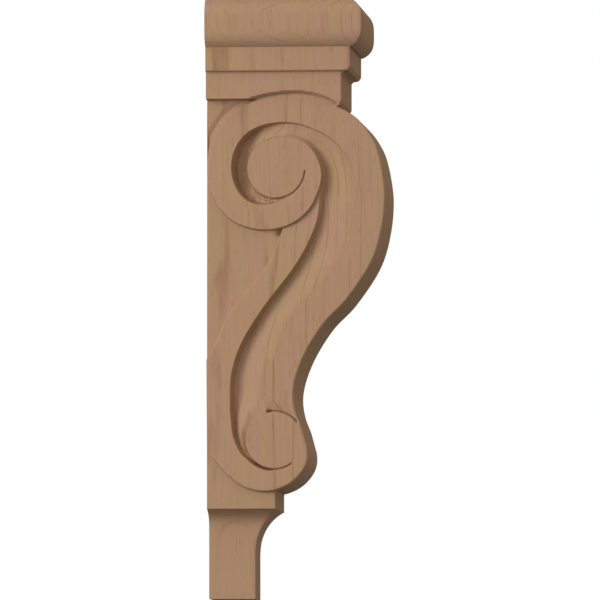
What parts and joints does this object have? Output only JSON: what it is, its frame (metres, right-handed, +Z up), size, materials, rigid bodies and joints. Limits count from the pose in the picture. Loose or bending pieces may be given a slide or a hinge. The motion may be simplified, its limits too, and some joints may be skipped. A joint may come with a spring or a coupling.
{
  "type": "corbel bracket",
  "caption": "Carved wooden corbel: a moulded cap over an S-scroll body with a volute at each end and a coved foot below, made to be fixed to a wall and carry a shelf",
  "frame": {"origin": "middle of the flat back face that is fixed to the wall", "axes": "X runs out from the wall, Y across the bracket, Z up"},
  "size_m": [0.076, 0.07, 0.254],
  "materials": {
    "wood": "satin"
  },
  "bodies": {
    "root": {"corbel": "wood"}
  },
  "joints": []
}
